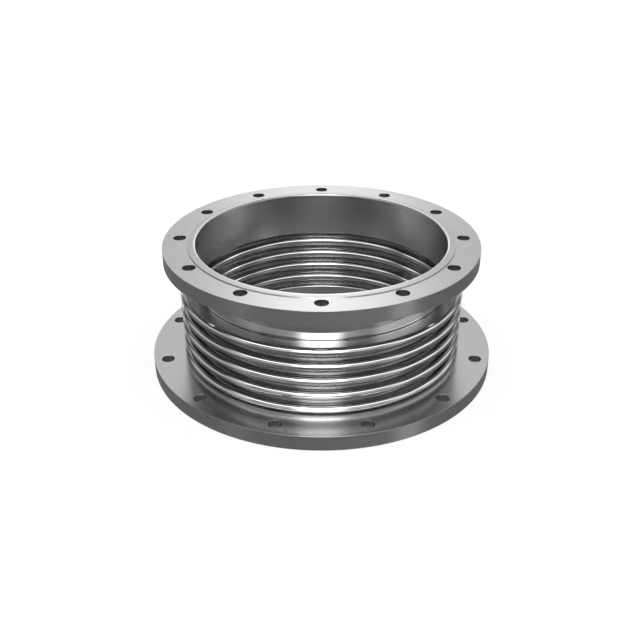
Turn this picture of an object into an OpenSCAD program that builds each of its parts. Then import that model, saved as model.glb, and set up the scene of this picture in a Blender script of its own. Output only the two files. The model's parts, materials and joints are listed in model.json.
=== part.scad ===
// Exhaust bellows: one folded steel sleeve that carries a drilled ring flange at each end.
// Z is the duct's axis. The underside of the lower flange lies at z = 0, and the side that
// faces -Y is the front. At the upper end the sleeve is turned over the flange as a lip.

/* [Sleeve] */
// Inner diameter of the duct, in the plain ends and at the roots of the folds
duct_d = 350; // [200:5:500]
// Thickness of the sheet
sheet_t = 1.2; // [0.8:0.1:2]
// Inner radius of the sheet's bends at the two ends of the folds
end_bend_r = 1; // [0.5:0.1:3]
// Plain length between the folds and the upper flange
collar_h = 43.6; // [20:0.2:120]
// Width of the lip over the upper flange, from the duct's wall
lip_w = 11.5; // [7:0.5:20]
// Inner radius of the lip's bend
lip_bend_r = 1.2; // [0.5:0.1:3]

/* [Folds] */
// Number of folds
fold_count = 5; // [2:1:10]
// Depth of a fold, from its root inside to its crest outside
fold_depth = 25; // [18:0.5:40]
// Distance from one crest to the next
fold_pitch = 21.2; // [16:0.2:30]
// Gap between the lowest fold and the lower flange
fold_gap = 0.8; // [0.3:0.1:20]

/* [Upper flange] */
// Thickness of the upper flange
upper_t = 20.5; // [10:0.5:40]
// Bare face between the lip's edge and the bolt holes
lip_to_holes = 2.5; // [1:0.5:20]
// Bare face between the bolt holes and the upper rim
upper_land = 13; // [6:0.5:40]

/* [Lower flange] */
// Thickness of the lower flange
lower_t = 21; // [10:0.5:40]
// Bare face between the folds and the bolt holes
folds_to_holes = 17; // [6:0.5:60]
// Bare face between the bolt holes and the lower rim
lower_land = 10; // [6:0.5:40]
// Angle by which the lower holes are turned against the upper ones
lower_turn = 15; // [0:1:29]

/* [Holes and edges] */
// Bolt holes in each flange
hole_count = 12; // [4:4:16]
// Diameter of a bolt hole
hole_d = 18; // [10:0.5:26]
// Radial clearance between the sleeve and the bores of the flanges
bore_clear = 0.15; // [0.1:0.05:0.4]
// Chamfer along the rims
rim_chamfer = 0.8; // [0.2:0.1:2]

/* [Welds] */
// Leg of the fillet weld behind the upper flange
fillet_leg = 4; // [2:0.5:8]
// How far the lower seal weld stays behind the underside
seal_recess = 1; // [0.3:0.1:4]

/* [Hidden] */
$fn = 120;

duct_r = duct_d / 2;
// outside of the plain ends, and the bores that they pass through
cuff_r = duct_r + sheet_t;
bore_r = cuff_r + bore_clear;
seal_leg = bore_r - duct_r;

// A fold in section is a half circle at the crest and one at the root, and level walls
crest_r = fold_pitch / 4 + sheet_t / 2;
inner_r = crest_r - sheet_t;
crest_x = duct_r + fold_depth - crest_r;
root_x = duct_r + crest_r;

// Heights, from the underside up
folds_z0 = lower_t + fold_gap;
folds_z1 = folds_z0 + (fold_count - 1) * fold_pitch + 2 * crest_r;
upper_z0 = folds_z1 + collar_h;
upper_z1 = upper_z0 + upper_t;
sleeve_z0 = seal_recess + seal_leg;

// Bolt circles and rims, stepped outwards from the lip and from the folds
upper_bolt_r = duct_r + lip_w + lip_to_holes + hole_d / 2;
upper_r = upper_bolt_r + hole_d / 2 + upper_land;
lower_bolt_r = duct_r + fold_depth + folds_to_holes + hole_d / 2;
lower_r = lower_bolt_r + hole_d / 2 + lower_land;

// how far a drill runs past the two faces
drill_past = 1;
// straight steps along the face of a weld
weld_facets = 6;

function crest_z(i) = folds_z0 + crest_r + i * fold_pitch;

// Sections are drawn with x as the radius and y as the height

// Sheet bent round [x, z], between an inner and an outer radius, in the part of the circle
// that lies towards [to_x, to_z], where 0 keeps both sides
module bend(x, z, bend_r, to_x, to_z) {
    outer_r = bend_r + sheet_t;
    translate([x, z])
        intersection() {
            difference() {
                circle(r = outer_r);
                circle(r = bend_r);
            }
            translate([to_x < 0 ? -outer_r : 0, to_z > 0 ? 0 : -outer_r])
                square([outer_r, to_z == 0 ? 2 * outer_r : outer_r]);
        }
}

// Level sheet between two radii, standing on z
module level_sheet(x0, x1, z) {
    translate([x0, z]) square([x1 - x0, sheet_t]);
}

// Upright sheet along the duct's wall
module upright_sheet(z0, z1) {
    translate([duct_r, z0]) square([sheet_t, z1 - z0]);
}

module folds_section() {
    for (i = [0 : fold_count - 1]) bend(crest_x, crest_z(i), inner_r, 1, 0);
    for (i = [1 : fold_count - 1]) {
        bend(root_x, crest_z(i) - fold_pitch / 2, inner_r, -1, 0);
        level_sheet(root_x, crest_x, crest_z(i) - crest_r);
        level_sheet(root_x, crest_x, crest_z(i - 1) + inner_r);
    }
}

// The lowest wall turns down into the lower flange's bore
module lower_end_section() {
    turn_x = cuff_r + end_bend_r;
    turn_z = folds_z0 - end_bend_r;
    level_sheet(turn_x, crest_x, folds_z0);
    bend(turn_x, turn_z, end_bend_r, -1, 1);
    upright_sheet(sleeve_z0, turn_z);
}

// The highest wall turns up into the collar, which ends in the lip
module upper_end_section() {
    turn_x = cuff_r + end_bend_r;
    turn_z = folds_z1 + end_bend_r;
    lip_x = cuff_r + lip_bend_r;
    lip_z = upper_z1 - lip_bend_r;
    level_sheet(turn_x, crest_x, folds_z1 - sheet_t);
    bend(turn_x, turn_z, end_bend_r, -1, -1);
    upright_sheet(turn_z, lip_z);
    bend(lip_x, lip_z, lip_bend_r, -1, 1);
    level_sheet(lip_x, duct_r + lip_w, upper_z1);
}

module bellows_sleeve() {
    color([0.7, 0.7, 0.7])
        rotate_extrude() {
            folds_section();
            lower_end_section();
            upper_end_section();
        }
}

// A turned ring from z0 up. The bore's upper edge is chamfered to clear the sleeve's bend
module turned_ring(rim_r, t, bore_chamfer, z0) {
    c = rim_chamfer;
    translate([0, 0, z0])
        rotate_extrude()
            polygon([
                [bore_r, 0], [rim_r - c, 0], [rim_r, c], [rim_r, t - c],
                [rim_r - c, t], [bore_r + bore_chamfer, t], [bore_r, t - bore_chamfer]
            ]);
}

// Drills for one bolt circle, the first one turned from the X axis
module bolt_drills(circle_r, t, turn, z0) {
    for (i = [0 : hole_count - 1])
        rotate(turn + i * 360 / hole_count)
            translate([circle_r, 0, z0 - drill_past])
                cylinder(d = hole_d, h = t + 2 * drill_past);
}

module upper_flange() {
    color([0.82, 0.82, 0.82])
        difference() {
            turned_ring(upper_r, upper_t, lip_bend_r, upper_z0);
            bolt_drills(upper_bolt_r, upper_t, 0, upper_z0);
        }
}

module lower_flange() {
    color([0.76, 0.76, 0.76])
        difference() {
            turned_ring(lower_r, lower_t, end_bend_r, 0);
            bolt_drills(lower_bolt_r, lower_t, lower_turn, 0);
        }
}

// A fillet weld in section, in the corner at the origin: its face is an arc that bulges a
// little beyond the straight line between the two legs
module weld_section(leg) {
    centre = -leg / 2;
    face_r = norm([leg - centre, -centre]);
    first = atan2(-centre, leg - centre);
    step = (90 - 2 * first) / weld_facets;
    face = [
        for (i = [0 : weld_facets])
            [centre + face_r * cos(first + i * step), centre + face_r * sin(first + i * step)]
    ];
    polygon(concat([[0, 0]], face));
}

// In the corner between the collar and the upper flange's underside
module upper_fillet_weld() {
    color([0.6, 0.6, 0.6])
        rotate_extrude()
            translate([cuff_r, upper_z0]) mirror([0, 1]) weld_section(fillet_leg);
}

// In the corner between the sleeve's lower end and the lower flange's bore
module lower_seal_weld() {
    color([0.6, 0.6, 0.6])
        rotate_extrude()
            translate([bore_r, sleeve_z0]) rotate(180) weld_section(seal_leg);
}

upper_flange();
bellows_sleeve();
lower_flange();
upper_fillet_weld();
lower_seal_weld();
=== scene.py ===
# Exhaust bellows on a pale studio floor: a folded steel sleeve between two drilled ring flanges.
# Everything is in metres, with the duct's axis along Z and the front towards -Y.
import bpy, bmesh, json
from functools import partial
from math import atan2, cos, degrees, pi, radians
from mathutils import Matrix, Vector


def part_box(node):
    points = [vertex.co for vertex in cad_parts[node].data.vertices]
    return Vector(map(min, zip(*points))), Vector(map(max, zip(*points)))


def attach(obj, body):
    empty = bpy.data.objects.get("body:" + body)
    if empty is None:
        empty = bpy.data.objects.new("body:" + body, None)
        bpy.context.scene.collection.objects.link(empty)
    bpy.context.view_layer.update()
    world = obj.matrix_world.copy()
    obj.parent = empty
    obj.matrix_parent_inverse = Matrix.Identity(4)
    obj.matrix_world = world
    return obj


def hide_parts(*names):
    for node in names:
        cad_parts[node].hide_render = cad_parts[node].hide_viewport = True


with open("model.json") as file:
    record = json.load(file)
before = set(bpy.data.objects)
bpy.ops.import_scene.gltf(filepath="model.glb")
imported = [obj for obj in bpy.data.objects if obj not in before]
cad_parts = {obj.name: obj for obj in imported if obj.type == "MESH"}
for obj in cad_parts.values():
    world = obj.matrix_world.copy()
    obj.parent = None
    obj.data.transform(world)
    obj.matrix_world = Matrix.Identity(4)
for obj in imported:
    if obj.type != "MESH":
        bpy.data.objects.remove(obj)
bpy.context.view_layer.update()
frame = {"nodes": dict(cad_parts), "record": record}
print("frame loaded, nodes:", sorted(frame["nodes"]))

scene = bpy.context.scene
mounts = {m["name"]: m for m in frame["record"]["mounts"]}
upperLow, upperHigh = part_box("upper_flange")
lowerLow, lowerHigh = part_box("lower_flange")
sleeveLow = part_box("bellows_sleeve")[0]


# Node trees

def newMaterial(name):
    mat = bpy.data.materials.new(name)
    mat.use_nodes = True
    return mat, mat.node_tree, mat.node_tree.nodes["Principled BSDF"]


def addNode(tree, kind, inputs=None, **settings):
    node = tree.nodes.new(kind)
    for key, value in settings.items():
        setattr(node, key, value)
    for key, value in (inputs or {}).items():
        if isinstance(value, bpy.types.NodeSocket):
            tree.links.new(value, node.inputs[key])
        else:
            node.inputs[key].default_value = value
    return node


def addMath(tree, operation, *values):
    return addNode(tree, "ShaderNodeMath", dict(enumerate(values)), operation=operation).outputs[0]


# A value from low to high becomes one from atLow to atHigh, and stays there beyond them
def addRange(tree, value, low, high, atLow, atHigh, easing="LINEAR"):
    return addNode(tree, "ShaderNodeMapRange", {0: value, 1: low, 2: high, 3: atLow, 4: atHigh},
                   interpolation_type=easing).outputs[0]


def addLength(tree, vector):
    return addNode(tree, "ShaderNodeVectorMath", {0: vector}, operation="LENGTH").outputs["Value"]


def addNormalize(tree, vector):
    return addNode(tree, "ShaderNodeVectorMath", {0: vector}, operation="NORMALIZE").outputs[0]


def addScale(tree, vector, factor):
    return addNode(tree, "ShaderNodeVectorMath", {0: vector, "Scale": factor}, operation="SCALE").outputs[0]


# Outlines are drawn with a pen: r is the radius, z the height, and the last vertex moves on

pen = {
    "ease": 0.0005,        # length of the short step at each end of a straight stretch
    "easeShare": 0.3,      # the most of the stretch that one such step takes
    "mergeWithin": 1e-7,
    "level": 0.99999,      # a face counts as level if its normal's height is more than this
}


def penDown(bm, r, z):
    return bm.verts.new((r, 0, z))


def penStep(bm, vert, dr, dz):
    new = bmesh.ops.extrude_vert_indiv(bm, verts=[vert])["verts"][0]
    new.co.x += dr
    new.co.z += dz
    return new


# A straight stretch with a short step at each end, so that the shading of a bend stops there
def penLine(bm, vert, dr, dz):
    length = abs(dr) + abs(dz)
    share = min(pen["ease"] / length, pen["easeShare"])
    for part in (share, 1 - 2 * share, share):
        vert = penStep(bm, vert, dr * part, dz * part)
    return vert


def penArc(bm, vert, r, z, turn, steps):
    turned = bmesh.ops.spin(bm, geom=[vert], cent=(r, 0, z), axis=(0, 1, 0),
                            angle=radians(turn), steps=steps)
    return [g for g in turned["geom_last"] if isinstance(g, bmesh.types.BMVert)][0]


# A closed outline turned once round Z
def turnRound(bm, steps):
    bmesh.ops.remove_doubles(bm, verts=bm.verts, dist=pen["mergeWithin"])
    bmesh.ops.spin(bm, geom=bm.verts[:] + bm.edges[:], cent=(0, 0, 0), axis=(0, 0, 1),
                   angle=2 * pi, steps=steps, use_merge=True)
    bmesh.ops.remove_doubles(bm, verts=bm.verts, dist=pen["mergeWithin"])
    bmesh.ops.recalc_face_normals(bm, faces=bm.faces)


def linkMesh(bm, name, materials):
    mesh = bpy.data.meshes.new(name)
    bm.to_mesh(mesh)
    bm.free()
    obj = bpy.data.objects.new(name, mesh)
    scene.collection.objects.link(obj)
    for material in materials:
        mesh.materials.append(material)
    return obj


def isLevel(face):
    return abs(face.normal.z) > pen["level"]


# Smooth faces, with the sharp edges and the borders of the level faces kept crisp
def shadeAndLink(bm, name, materials, crispAngle):
    for face in bm.faces:
        face.smooth = True
    for edge in bm.edges:
        if len(edge.link_faces) == 2:
            a, b = edge.link_faces
            edge.smooth = edge.calc_face_angle() < radians(crispAngle) and isLevel(a) == isLevel(b)
    return linkMesh(bm, name, materials)


# Steel finishes. The marks of turning and forming run round the axis, so they are noise that
# changes fast with the radius and the height and slowly round the turn. A weld's ripples change
# fast round the turn too

marks = {
    "fineDetail": 2.0,
    "broadDetail": 1.0,
    "broadPerTurn": 5,
    "noiseLow": 0.3,       # nearly all of the noise lies between these two
    "noiseHigh": 0.7,
    "depth": 0.00005,      # of the marks where the bump is 1
}


# A look's fine marks change the roughness by the share "spread" and the surface by "bump", and the
# broad ones the shade. The function "zones" changes the roughness and shade from place to place
def steelMaterial(name, look, zones=None):
    mat, tree, shader = newMaterial(name)
    calc = partial(addMath, tree)
    place = addNode(tree, "ShaderNodeTexCoord").outputs["Object"]
    axes = addNode(tree, "ShaderNodeSeparateXYZ", {0: place})
    x, y, z = (axes.outputs[i] for i in range(3))
    across = addNode(tree, "ShaderNodeCombineXYZ", {0: x, 1: y}).outputs[0]
    radius = addLength(tree, across)
    outward = addNormalize(tree, across)

    def rings(perMetre, perTurn, detail):
        r, h = calc("MULTIPLY", radius, perMetre), calc("MULTIPLY", z, perMetre)
        turn = addNode(tree, "ShaderNodeSeparateXYZ", {0: addScale(tree, outward, perTurn / (2 * pi))})
        spot = addNode(tree, "ShaderNodeCombineXYZ", {0: r, 1: h, 2: turn.outputs[0]}).outputs[0]
        noise = {"Vector": spot, "W": turn.outputs[1], "Scale": 1.0, "Detail": detail}
        return addNode(tree, "ShaderNodeTexNoise", noise, noise_dimensions="4D").outputs[0]

    fine = rings(look["finePerMetre"], look["finePerTurn"], marks["fineDetail"])
    broad = rings(look["broadPerMetre"], marks["broadPerTurn"], marks["broadDetail"])
    shade = addNode(tree, "ShaderNodeMix", {0: broad, 6: (*look["dark"], 1), 7: (*look["light"], 1)},
                    data_type="RGBA").outputs[2]
    rough = look["roughness"]
    if zones:
        rough, shade = zones(tree, look, radius, z, rough, shade)
    spread = addRange(tree, fine, marks["noiseLow"], marks["noiseHigh"],
                      1 - look["spread"], 1 + look["spread"])
    rough = calc("MULTIPLY", rough, spread)
    bump = addNode(tree, "ShaderNodeBump", {"Height": fine, "Strength": look["bump"],
                                            "Distance": marks["depth"]})
    tree.links.new(shade, shader.inputs["Base Color"])
    tree.links.new(rough, shader.inputs["Roughness"])
    tree.links.new(bump.outputs[0], shader.inputs["Normal"])
    shader.inputs["Metallic"].default_value = 1
    return mat


# The sleeve: both faces of the sheet are drawn from the lower end to the lip

sleeve = {
    "ductRadius": 0.175,
    "sheet": 0.0012,
    "endBend": 0.001,      # inner radius of the bends beside the folds
    "lipBend": 0.0012,     # inner radius of the bend under the lip
    "lipEdge": 0.1865,     # outer radius of the lip
    "foldCount": 5,
    "foldDepth": 0.025,
    "foldPitch": 0.0212,
    "foldGap": 0.0008,     # from the lowest fold to the lower flange
    "foldSteps": 9,        # per half circle of a fold
    "hiddenSteps": 6,      # the same, deep between two folds
    "bendSteps": 6,        # per quarter circle of the other bends
    "turnSteps": 320,
    "cutAngle": 60,        # only the sheet's cut edges are sharper than this
    "cutRound": 0.0002,
    "cutSteps": 2,
    "crispAngle": 40,
}

outsideR = sleeve["ductRadius"] + sleeve["sheet"]
foldRadius = sleeve["foldPitch"] / 4 + sleeve["sheet"] / 2       # outer radius of the folds' bends
foldsLow = lowerHigh.z + sleeve["foldGap"]
foldsHigh = foldsLow + (sleeve["foldCount"] - 1) * sleeve["foldPitch"] + 2 * foldRadius

sleeveLook = {
    "dark": (0.56, 0.56, 0.56),
    "light": (0.6, 0.6, 0.6),
    "roughness": 0.06,         # the crests and the collar
    "spread": 0.1,
    "finePerMetre": 900,
    "finePerTurn": 9,
    "broadPerMetre": 90,
    "bump": 0.02,
    "brightEdge": 0.005,       # width of the bright strips at a fold's root and at its crest
    "edgeSoft": 0.001,
    "wallRoughness": 0.15,     # a fold's wall between those strips
    # painted shade: the folds' walls, the top fold's face and the lip keep this share of their colour,
    # darker than the crests
    "wallPaintedShade": 0.88,
    "topRoughness": 0.25,      # the same on the top fold's upper face and on the lip
    "boreRoughness": 0.24,     # the duct's plain wall above the folds
    "paintedLineHalf": 0.0007,        # half width of the painted shade line in the bend above the folds
    "paintedLineSoft": 0.3,
    # painted shade: the share of the colour left in the middle of that line
    "paintedLineShade": 0.2,
}


# Where the sheet is dull, the painted shade that darkens the folds' walls, and the painted shade line in
# the sharp bend between the top fold and the collar
def sheetZones(tree, look, radius, z, rough, shade):
    s = sleeve
    calc = partial(addMath, tree)
    middle, wallHalf = s["ductRadius"] + s["foldDepth"] / 2, s["foldDepth"] / 2 - look["brightEdge"]
    wallEnds = wallHalf + look["edgeSoft"], wallHalf - look["edgeSoft"]
    aside = calc("ABSOLUTE", calc("SUBTRACT", radius, middle))
    onTop = calc("GREATER_THAN", z, foldsHigh - s["sheet"] / 2)
    dull = addRange(tree, onTop, 0, 1, look["wallRoughness"], look["topRoughness"])
    rough = addRange(tree, aside, *wallEnds, rough, dull)
    inDuct = calc("LESS_THAN", radius, s["ductRadius"] + s["sheet"] / 2)
    aboveFolds = calc("GREATER_THAN", z, foldsHigh + s["endBend"])
    plainWall = calc("MULTIPLY", inDuct, aboveFolds)
    rough = addRange(tree, plainWall, 0, 1, rough, look["boreRoughness"])

    # painted shade: the colour goes down to a fifth in a ring about 1.4 mm wide round the middle of the
    # bend
    bendMiddle = s["endBend"] * (1 - cos(radians(45)))
    bendR = calc("SUBTRACT", radius, outsideR + bendMiddle)
    bendZ = calc("SUBTRACT", z, foldsHigh + bendMiddle)
    fromBend = addLength(tree, addNode(tree, "ShaderNodeCombineXYZ", {0: bendR, 1: bendZ}).outputs[0])
    lineEnds = look["paintedLineHalf"] * (1 - look["paintedLineSoft"]), look["paintedLineHalf"] * (1 + look["paintedLineSoft"])
    paintedLine = addRange(tree, fromBend, *lineEnds, look["paintedLineShade"], 1)
    # painted shade: the folds' walls are darkened here, and the bend by the painted line above
    wall = addRange(tree, aside, *wallEnds, 1, look["wallPaintedShade"])
    return rough, addScale(tree, shade, calc("MULTIPLY", wall, paintedLine))


sheetSteel = steelMaterial("formedSheet", sleeveLook, sheetZones)


# One face of the sheet. The offset is 0 on the duct's side and the sheet's thickness outside
def sleeveFace(bm, offset):
    s = sleeve
    crestR = s["ductRadius"] + s["foldDepth"] - foldRadius
    rootR = s["ductRadius"] + foldRadius
    endR = outsideR + s["endBend"]
    lipR = outsideR + s["lipBend"]
    endZ = foldsLow - s["endBend"]
    collarZ = foldsHigh + s["endBend"]
    lipZ = upperHigh.z - s["lipBend"]
    rootSteps, crestSteps = s["foldSteps"], s["hiddenSteps"]
    if offset > 0:
        rootSteps, crestSteps = s["hiddenSteps"], s["foldSteps"]

    vert = first = penDown(bm, s["ductRadius"] + offset, sleeveLow.z)
    vert = penLine(bm, vert, 0, endZ - sleeveLow.z)
    vert = penArc(bm, vert, endR, endZ, 90, s["bendSteps"])
    vert = penLine(bm, vert, crestR - endR, 0)
    for i in range(s["foldCount"]):
        crestZ = foldsLow + foldRadius + i * s["foldPitch"]
        if i > 0:
            vert = penArc(bm, vert, rootR, crestZ - s["foldPitch"] / 2, 180, rootSteps)
            vert = penLine(bm, vert, crestR - rootR, 0)
        vert = penArc(bm, vert, crestR, crestZ, -180, crestSteps)
        if i < s["foldCount"] - 1:
            vert = penLine(bm, vert, rootR - crestR, 0)
    vert = penLine(bm, vert, endR - crestR, 0)
    vert = penArc(bm, vert, endR, collarZ, 90, s["bendSteps"])
    vert = penLine(bm, vert, 0, lipZ - collarZ)
    vert = penArc(bm, vert, lipR, lipZ, 90, s["bendSteps"])
    vert = penLine(bm, vert, s["lipEdge"] - lipR, 0)
    return first, vert


def buildSleeve():
    s = sleeve
    bm = bmesh.new()
    ductEnds = sleeveFace(bm, 0)
    outerEnds = sleeveFace(bm, s["sheet"])
    for a, b in zip(ductEnds, outerEnds):
        bm.edges.new((a, b))
    turnRound(bm, s["turnSteps"])
    cutEdges = [e for e in bm.edges if e.calc_face_angle(0) > radians(s["cutAngle"])]
    bmesh.ops.bevel(bm, geom=cutEdges, offset=s["cutRound"], offset_type="OFFSET",
                    segments=s["cutSteps"], profile=0.5, affect="EDGES", material=-1)
    obj = shadeAndLink(bm, "foldedSleeve", [sheetSteel], s["crispAngle"])
    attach(obj, "root")
    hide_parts("bellows_sleeve")
    print("sleeve built, faces:", len(obj.data.polygons))


buildSleeve()


# The flanges: a turned ring with softened rims, drilled on its bolt circle

flange = {
    "boreClear": 0.00015,  # between the sleeve and the bore
    "rimRound": 0.0003,
    "rimSteps": 4,
    "holeRound": 0.0002,
    "holeSteps": 3,
    "turnSteps": 240,
    "drillSteps": 48,
    "drillPast": 0.002,    # how far a drill reaches past the ring
    "mergeWithin": 0.000002,
    "crispAngle": 50,
}

boreR = outsideR + flange["boreClear"]

flangeLook = {
    "dark": (0.53, 0.53, 0.53),
    "light": (0.57, 0.57, 0.57),
    "roughness": 0.24,
    "spread": 0.05,
    "finePerMetre": 1400,
    "finePerTurn": 9,
    "broadPerMetre": 150,
    "bump": 0.01,
}

# The holes' walls are smoother
drillLook = {**flangeLook, "dark": (0.5, 0.5, 0.5), "light": (0.58, 0.58, 0.58), "roughness": 0.1,
             "spread": 0.2}

flangeSteel = steelMaterial("turnedSteel", flangeLook)
drilledSteel = steelMaterial("drilledSteel", drillLook)


def ringOutline(bm, low, high, boreChamfer):
    f = flange
    c, rim = f["rimRound"], high.x
    vert = first = penDown(bm, boreR, low.z)
    vert = penLine(bm, vert, rim - c - boreR, 0)
    vert = penArc(bm, vert, rim - c, low.z + c, -90, f["rimSteps"])
    vert = penLine(bm, vert, 0, high.z - low.z - 2 * c)
    vert = penArc(bm, vert, rim - c, high.z - c, -90, f["rimSteps"])
    vert = penLine(bm, vert, boreR + boreChamfer - rim + c, 0)
    vert = penStep(bm, vert, -boreChamfer, -boreChamfer)
    bm.edges.new((vert, first))


# Drills whose ends flare, so that the holes' edges come out softened. The record's millimetres and
# its diameter become metres and a radius here
def drillBits(low, high, pattern, turn):
    f = flange
    holeR, circleR, count = pattern["hole_r_mm"] / 1000, pattern["pcd_mm"] / 2000, pattern["count"]
    c = f["holeRound"]
    bm = bmesh.new()
    vert = penDown(bm, 0, low.z - f["drillPast"])
    vert = penStep(bm, vert, holeR + c, 0)
    vert = penStep(bm, vert, 0, f["drillPast"])
    vert = penArc(bm, vert, holeR + c, low.z + c, 90, f["holeSteps"])
    vert = penLine(bm, vert, 0, high.z - low.z - 2 * c)
    vert = penArc(bm, vert, holeR + c, high.z - c, 90, f["holeSteps"])
    vert = penStep(bm, vert, 0, f["drillPast"])
    penStep(bm, vert, -holeR - c, 0)
    turnRound(bm, f["drillSteps"])
    bmesh.ops.translate(bm, verts=bm.verts, vec=(circleR, 0, 0))
    bmesh.ops.rotate(bm, verts=bm.verts, cent=(0, 0, 0), matrix=Matrix.Rotation(radians(turn), 3, "Z"))
    bmesh.ops.spin(bm, geom=bm.faces[:], cent=(0, 0, 0), axis=(0, 0, 1), use_duplicate=True,
                   angle=2 * pi * (count - 1) / count, steps=count - 1)
    return shadeAndLink(bm, "drills", [drilledSteel], f["crispAngle"])


def buildFlange(name, node, low, high, boreChamfer, pattern, turn):
    f = flange
    bm = bmesh.new()
    ringOutline(bm, low, high, boreChamfer)
    turnRound(bm, f["turnSteps"])
    ring = shadeAndLink(bm, name + "Blank", [flangeSteel], f["crispAngle"])
    drills = drillBits(low, high, pattern, turn)
    cut = ring.modifiers.new("drilled", "BOOLEAN")
    cut.operation, cut.solver, cut.object = "DIFFERENCE", "EXACT", drills
    cut.material_mode = "TRANSFER"       # the holes' walls keep the drills' finish
    bpy.context.view_layer.update()
    drilled = ring.evaluated_get(bpy.context.evaluated_depsgraph_get()).to_mesh()
    bm = bmesh.new()
    bm.from_mesh(drilled)
    # the drills' flares end level with the ring's faces, which can leave rows with no height
    bmesh.ops.remove_doubles(bm, verts=bm.verts, dist=f["mergeWithin"])
    bmesh.ops.dissolve_degenerate(bm, edges=bm.edges, dist=f["mergeWithin"])
    for spent in (ring, drills):
        bpy.data.objects.remove(spent)
    obj = shadeAndLink(bm, name, [flangeSteel, drilledSteel], f["crispAngle"])
    walls = sum(p.material_index == 1 for p in obj.data.polygons)
    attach(obj, "root")
    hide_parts(node)
    print(name, "built, faces:", len(obj.data.polygons), "of them in the holes:", walls)


upperHoles = mounts["upper_bolts"]["dims"]
lowerHoles = mounts["lower_bolts"]["dims"]
halfPitch = 180 / lowerHoles["count"]
buildFlange("narrowFlange", "upper_flange", upperLow, upperHigh, sleeve["lipBend"], upperHoles, 0)
buildFlange("wideFlange", "lower_flange", lowerLow, lowerHigh, sleeve["endBend"], lowerHoles, halfPitch)


# The welds: a fillet under the narrow flange, and a sealing bead below the sleeve's end in the
# bore of the wide one. Their faces bulge a little beyond the line between the two legs

weld = {
    "filletLeg": 0.004,
    "sealRecess": 0.001,   # from the wide flange's underside to the bead
    "setBack": 0.5,        # how many legs past the corner the bulged face has its centre
    "faceSteps": 6,
    "turnSteps": 320,
    "crispAngle": 40,
}

weldLook = {
    "dark": (0.35, 0.35, 0.35),
    "light": (0.55, 0.55, 0.55),
    "roughness": 0.35,
    "spread": 0.3,
    "finePerMetre": 300,
    "finePerTurn": 420,
    "broadPerMetre": 300,
    "bump": 1.0,
}

weldSteel = steelMaterial("weldBead", weldLook)


# The side is 1 where the bead lies outside the corner's radius, and -1 inside it
def buildWeld(name, node, cornerR, cornerZ, leg, side):
    w = weld
    back = w["setBack"] * leg
    faceTurn = 90 - 2 * degrees(atan2(back, leg + back))
    bm = bmesh.new()
    corner = penDown(bm, cornerR, cornerZ)
    start = penStep(bm, corner, side * leg, 0)
    end = penArc(bm, start, cornerR - side * back, cornerZ + back, side * faceTurn, w["faceSteps"])
    bm.edges.new((end, corner))
    turnRound(bm, w["turnSteps"])
    obj = shadeAndLink(bm, name, [weldSteel], w["crispAngle"])
    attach(obj, "root")
    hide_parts(node)
    print(name, "built, faces:", len(obj.data.polygons))


buildWeld("collarBead", "upper_fillet_weld", outsideR, upperLow.z, weld["filletLeg"], 1)
buildWeld("endBead", "lower_seal_weld", boreR, sleeveLow.z, sleeveLow.z - weld["sealRecess"], -1)


# Camera: the photograph's place and lens

camera = {"place": (0, -1.0917, 0.6426), "tilt": 61.597, "lens": 47.538, "shift": -0.00242}


def setCamera():
    data = bpy.data.cameras.new("camera")
    data.lens, data.shift_x = camera["lens"], camera["shift"]
    obj = bpy.data.objects.new("camera", data)
    obj.location = camera["place"]
    obj.rotation_euler = (radians(camera["tilt"]), 0, 0)
    scene.collection.objects.link(obj)
    scene.camera = obj


# Studio. The camera and the floor see a plain white world. The steel's reflections end on a light
# tent instead, which the camera, the floor and shadows don't see. A panel is azimuth, half width,
# softness, elevation, half height, softness (degrees, azimuth 0 at the front and 90 on the right)
# and strength

tentPanels = {
    "key": (-1, 16, 8, 24, 20, 4, 4.6),
    "fill": (0, 50, 30, 9, 16, 4, 0.85),
    "strip": (-8, 68, 22, 41, 5, 4, 4.4),
    "stripFront": (0, 25, 16, 41, 5, 4, 1.2),
    "left": (-89, 34, 5, 12, 17, 2, 0.6),
    "right": (89, 34, 10, 12, 15, 2, 1.0),
    "sideRight": (74, 26, 8, 26, 5, 4, 1.3),
    "back": (180, 40, 20, 20, 38, 5, 0.72),
    "backHigh": (180, 32, 10, 38, 8, 6, 0.2),
    "backKey": (180, 7, 6, 31, 12, 4, 1.0),
    "backLow": (180, 40, 6, 3, 7, 3, 2.2),
    "top": (0, 140, 8, 83, 13, 6, 1.0),
    "ground": (0, 180, 2, -45, 42, 3, 0.18),
    "groundFront": (27, 14, 27, -25, 14, 6, 0.05),
    "groundRight": (58, 9, 5, -27, 16, 6, 0.28),
    "groundLeft": (-57, 7, 5, -27, 14, 6, 0.08),
}

tent = {"radius": 4, "columns": 48, "rows": 24, "height": 0.1}

floor = {
    "halfWidth": 30,
    "drop": 0.0005,
    "grey": 0.3,           # what a shadow takes away
    "glow": 0.75,          # what it leaves
}


def setWorld():
    world = bpy.data.worlds.new("studio")
    scene.world = world
    world.use_nodes = True
    back = world.node_tree.nodes["Background"]
    back.inputs["Color"].default_value = (1, 1, 1, 1)
    back.inputs["Strength"].default_value = 1.0


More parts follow.
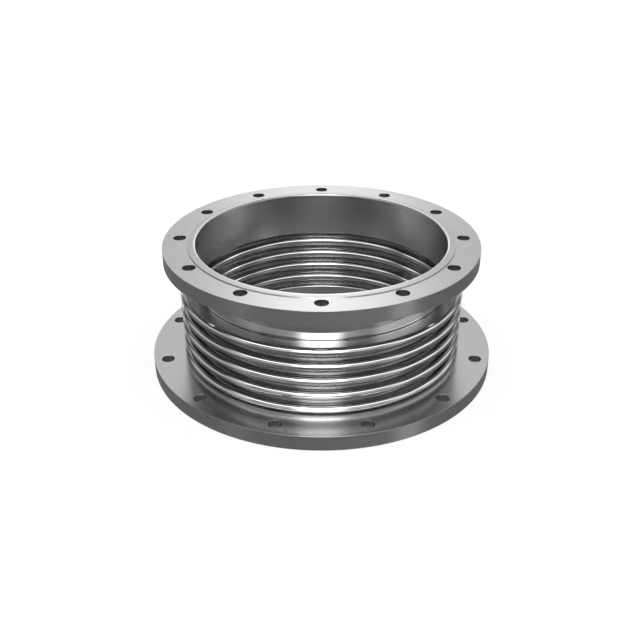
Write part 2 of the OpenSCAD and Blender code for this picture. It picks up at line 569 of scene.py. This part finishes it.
def tentCloth():
    mat = bpy.data.materials.new("tentCloth")
    mat.use_nodes = True
    mat.cycles.emission_sampling = "NONE"       # only reflections find the panels
    tree = mat.node_tree
    tree.nodes.clear()
    calc = partial(addMath, tree)

    def panelSide(distance, half, soft):
        return addRange(tree, distance, half + soft, half - soft, 0.0, 1.0, "SMOOTHSTEP")

    place = addNode(tree, "ShaderNodeTexCoord").outputs["Object"]
    axes = addNode(tree, "ShaderNodeSeparateXYZ", {0: addNormalize(tree, place)})
    front = calc("MULTIPLY", axes.outputs[1], -1.0)
    azimuth = calc("DEGREES", calc("ARCTAN2", axes.outputs[0], front))
    elevation = calc("DEGREES", calc("ARCSINE", axes.outputs[2]))
    total = 0.0
    for az, halfWidth, softX, el, halfHeight, softZ, strength in tentPanels.values():
        aside = calc("ABSOLUTE", calc("WRAP", calc("SUBTRACT", azimuth, az), 180.0, -180.0))
        above = calc("ABSOLUTE", calc("SUBTRACT", elevation, el))
        shape = calc("MULTIPLY", panelSide(aside, halfWidth, softX), panelSide(above, halfHeight, softZ))
        total = calc("MULTIPLY_ADD", shape, strength, total)
    glow = addNode(tree, "ShaderNodeEmission", {"Strength": total})
    out = addNode(tree, "ShaderNodeOutputMaterial")
    tree.links.new(glow.outputs[0], out.inputs[0])
    return mat


def setTent():
    bm = bmesh.new()
    bmesh.ops.create_uvsphere(bm, u_segments=tent["columns"], v_segments=tent["rows"],
                              radius=tent["radius"])
    bmesh.ops.reverse_faces(bm, faces=bm.faces)
    obj = linkMesh(bm, "lightTent", [tentCloth()])
    obj.location.z = tent["height"]
    obj.visible_camera = obj.visible_diffuse = obj.visible_shadow = False


def setFloor():
    mat, _, shader = newMaterial("palePaper")
    grey = floor["grey"]
    shader.inputs["Base Color"].default_value = (grey, grey, grey, 1)
    shader.inputs["Roughness"].default_value = 1
    shader.inputs["Specular IOR Level"].default_value = 0
    shader.inputs["Emission Color"].default_value = (1, 1, 1, 1)
    shader.inputs["Emission Strength"].default_value = floor["glow"]
    bm = bmesh.new()
    bmesh.ops.create_grid(bm, x_segments=1, y_segments=1, size=floor["halfWidth"])
    obj = linkMesh(bm, "paperFloor", [mat])
    obj.location.z = -floor["drop"]
    obj.visible_glossy = False       # the steel mirrors the tent's grey ground in its place


scene.view_settings.view_transform = "Standard"
setCamera()
setWorld()
setTent()
setFloor()
print("studio ready")
